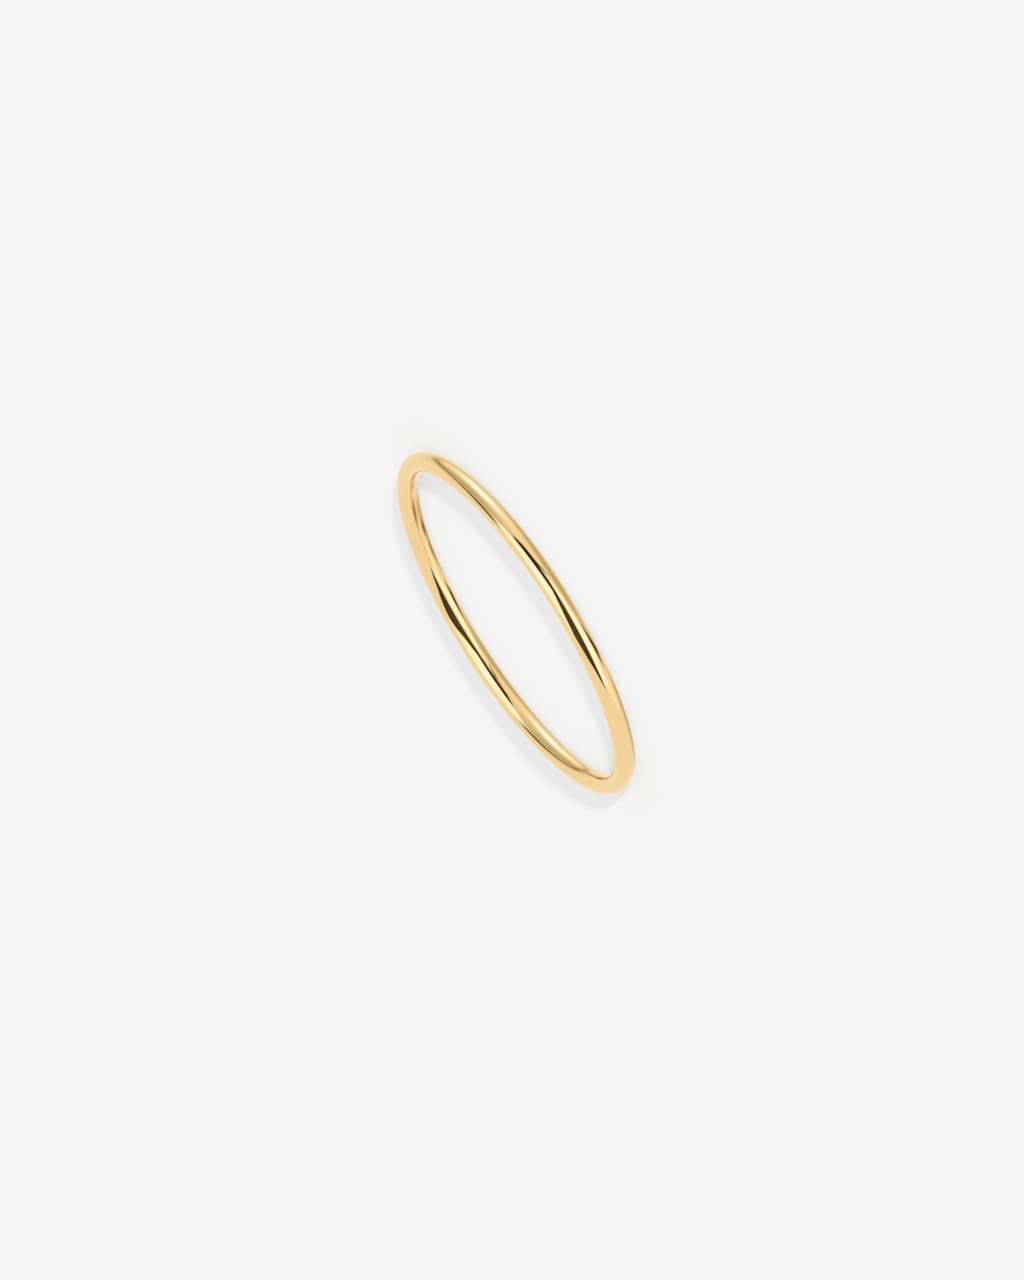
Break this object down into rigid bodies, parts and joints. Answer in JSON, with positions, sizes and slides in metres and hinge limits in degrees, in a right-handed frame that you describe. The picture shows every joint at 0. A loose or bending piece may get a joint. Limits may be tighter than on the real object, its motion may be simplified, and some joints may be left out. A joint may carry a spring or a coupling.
{
  "type": "ring",
  "caption": "Plain thin finger ring of round polished yellow gold wire, even all the way round, lying on its side with the finger hole open.",
  "frame": {"origin": "centre of the finger hole, in the plane that the ring rests on", "axes": "+Z along the hoop's axis, up from the plane it rests on; X and Y across the finger hole, both alike"},
  "size_m": [0.0194, 0.0194, 0.001],
  "materials": {
    "yellow_gold": "mirror polished yellow gold with faint lengthwise polishing lines"
  },
  "bodies": {
    "root": {"band": "yellow_gold"}
  },
  "joints": []
}
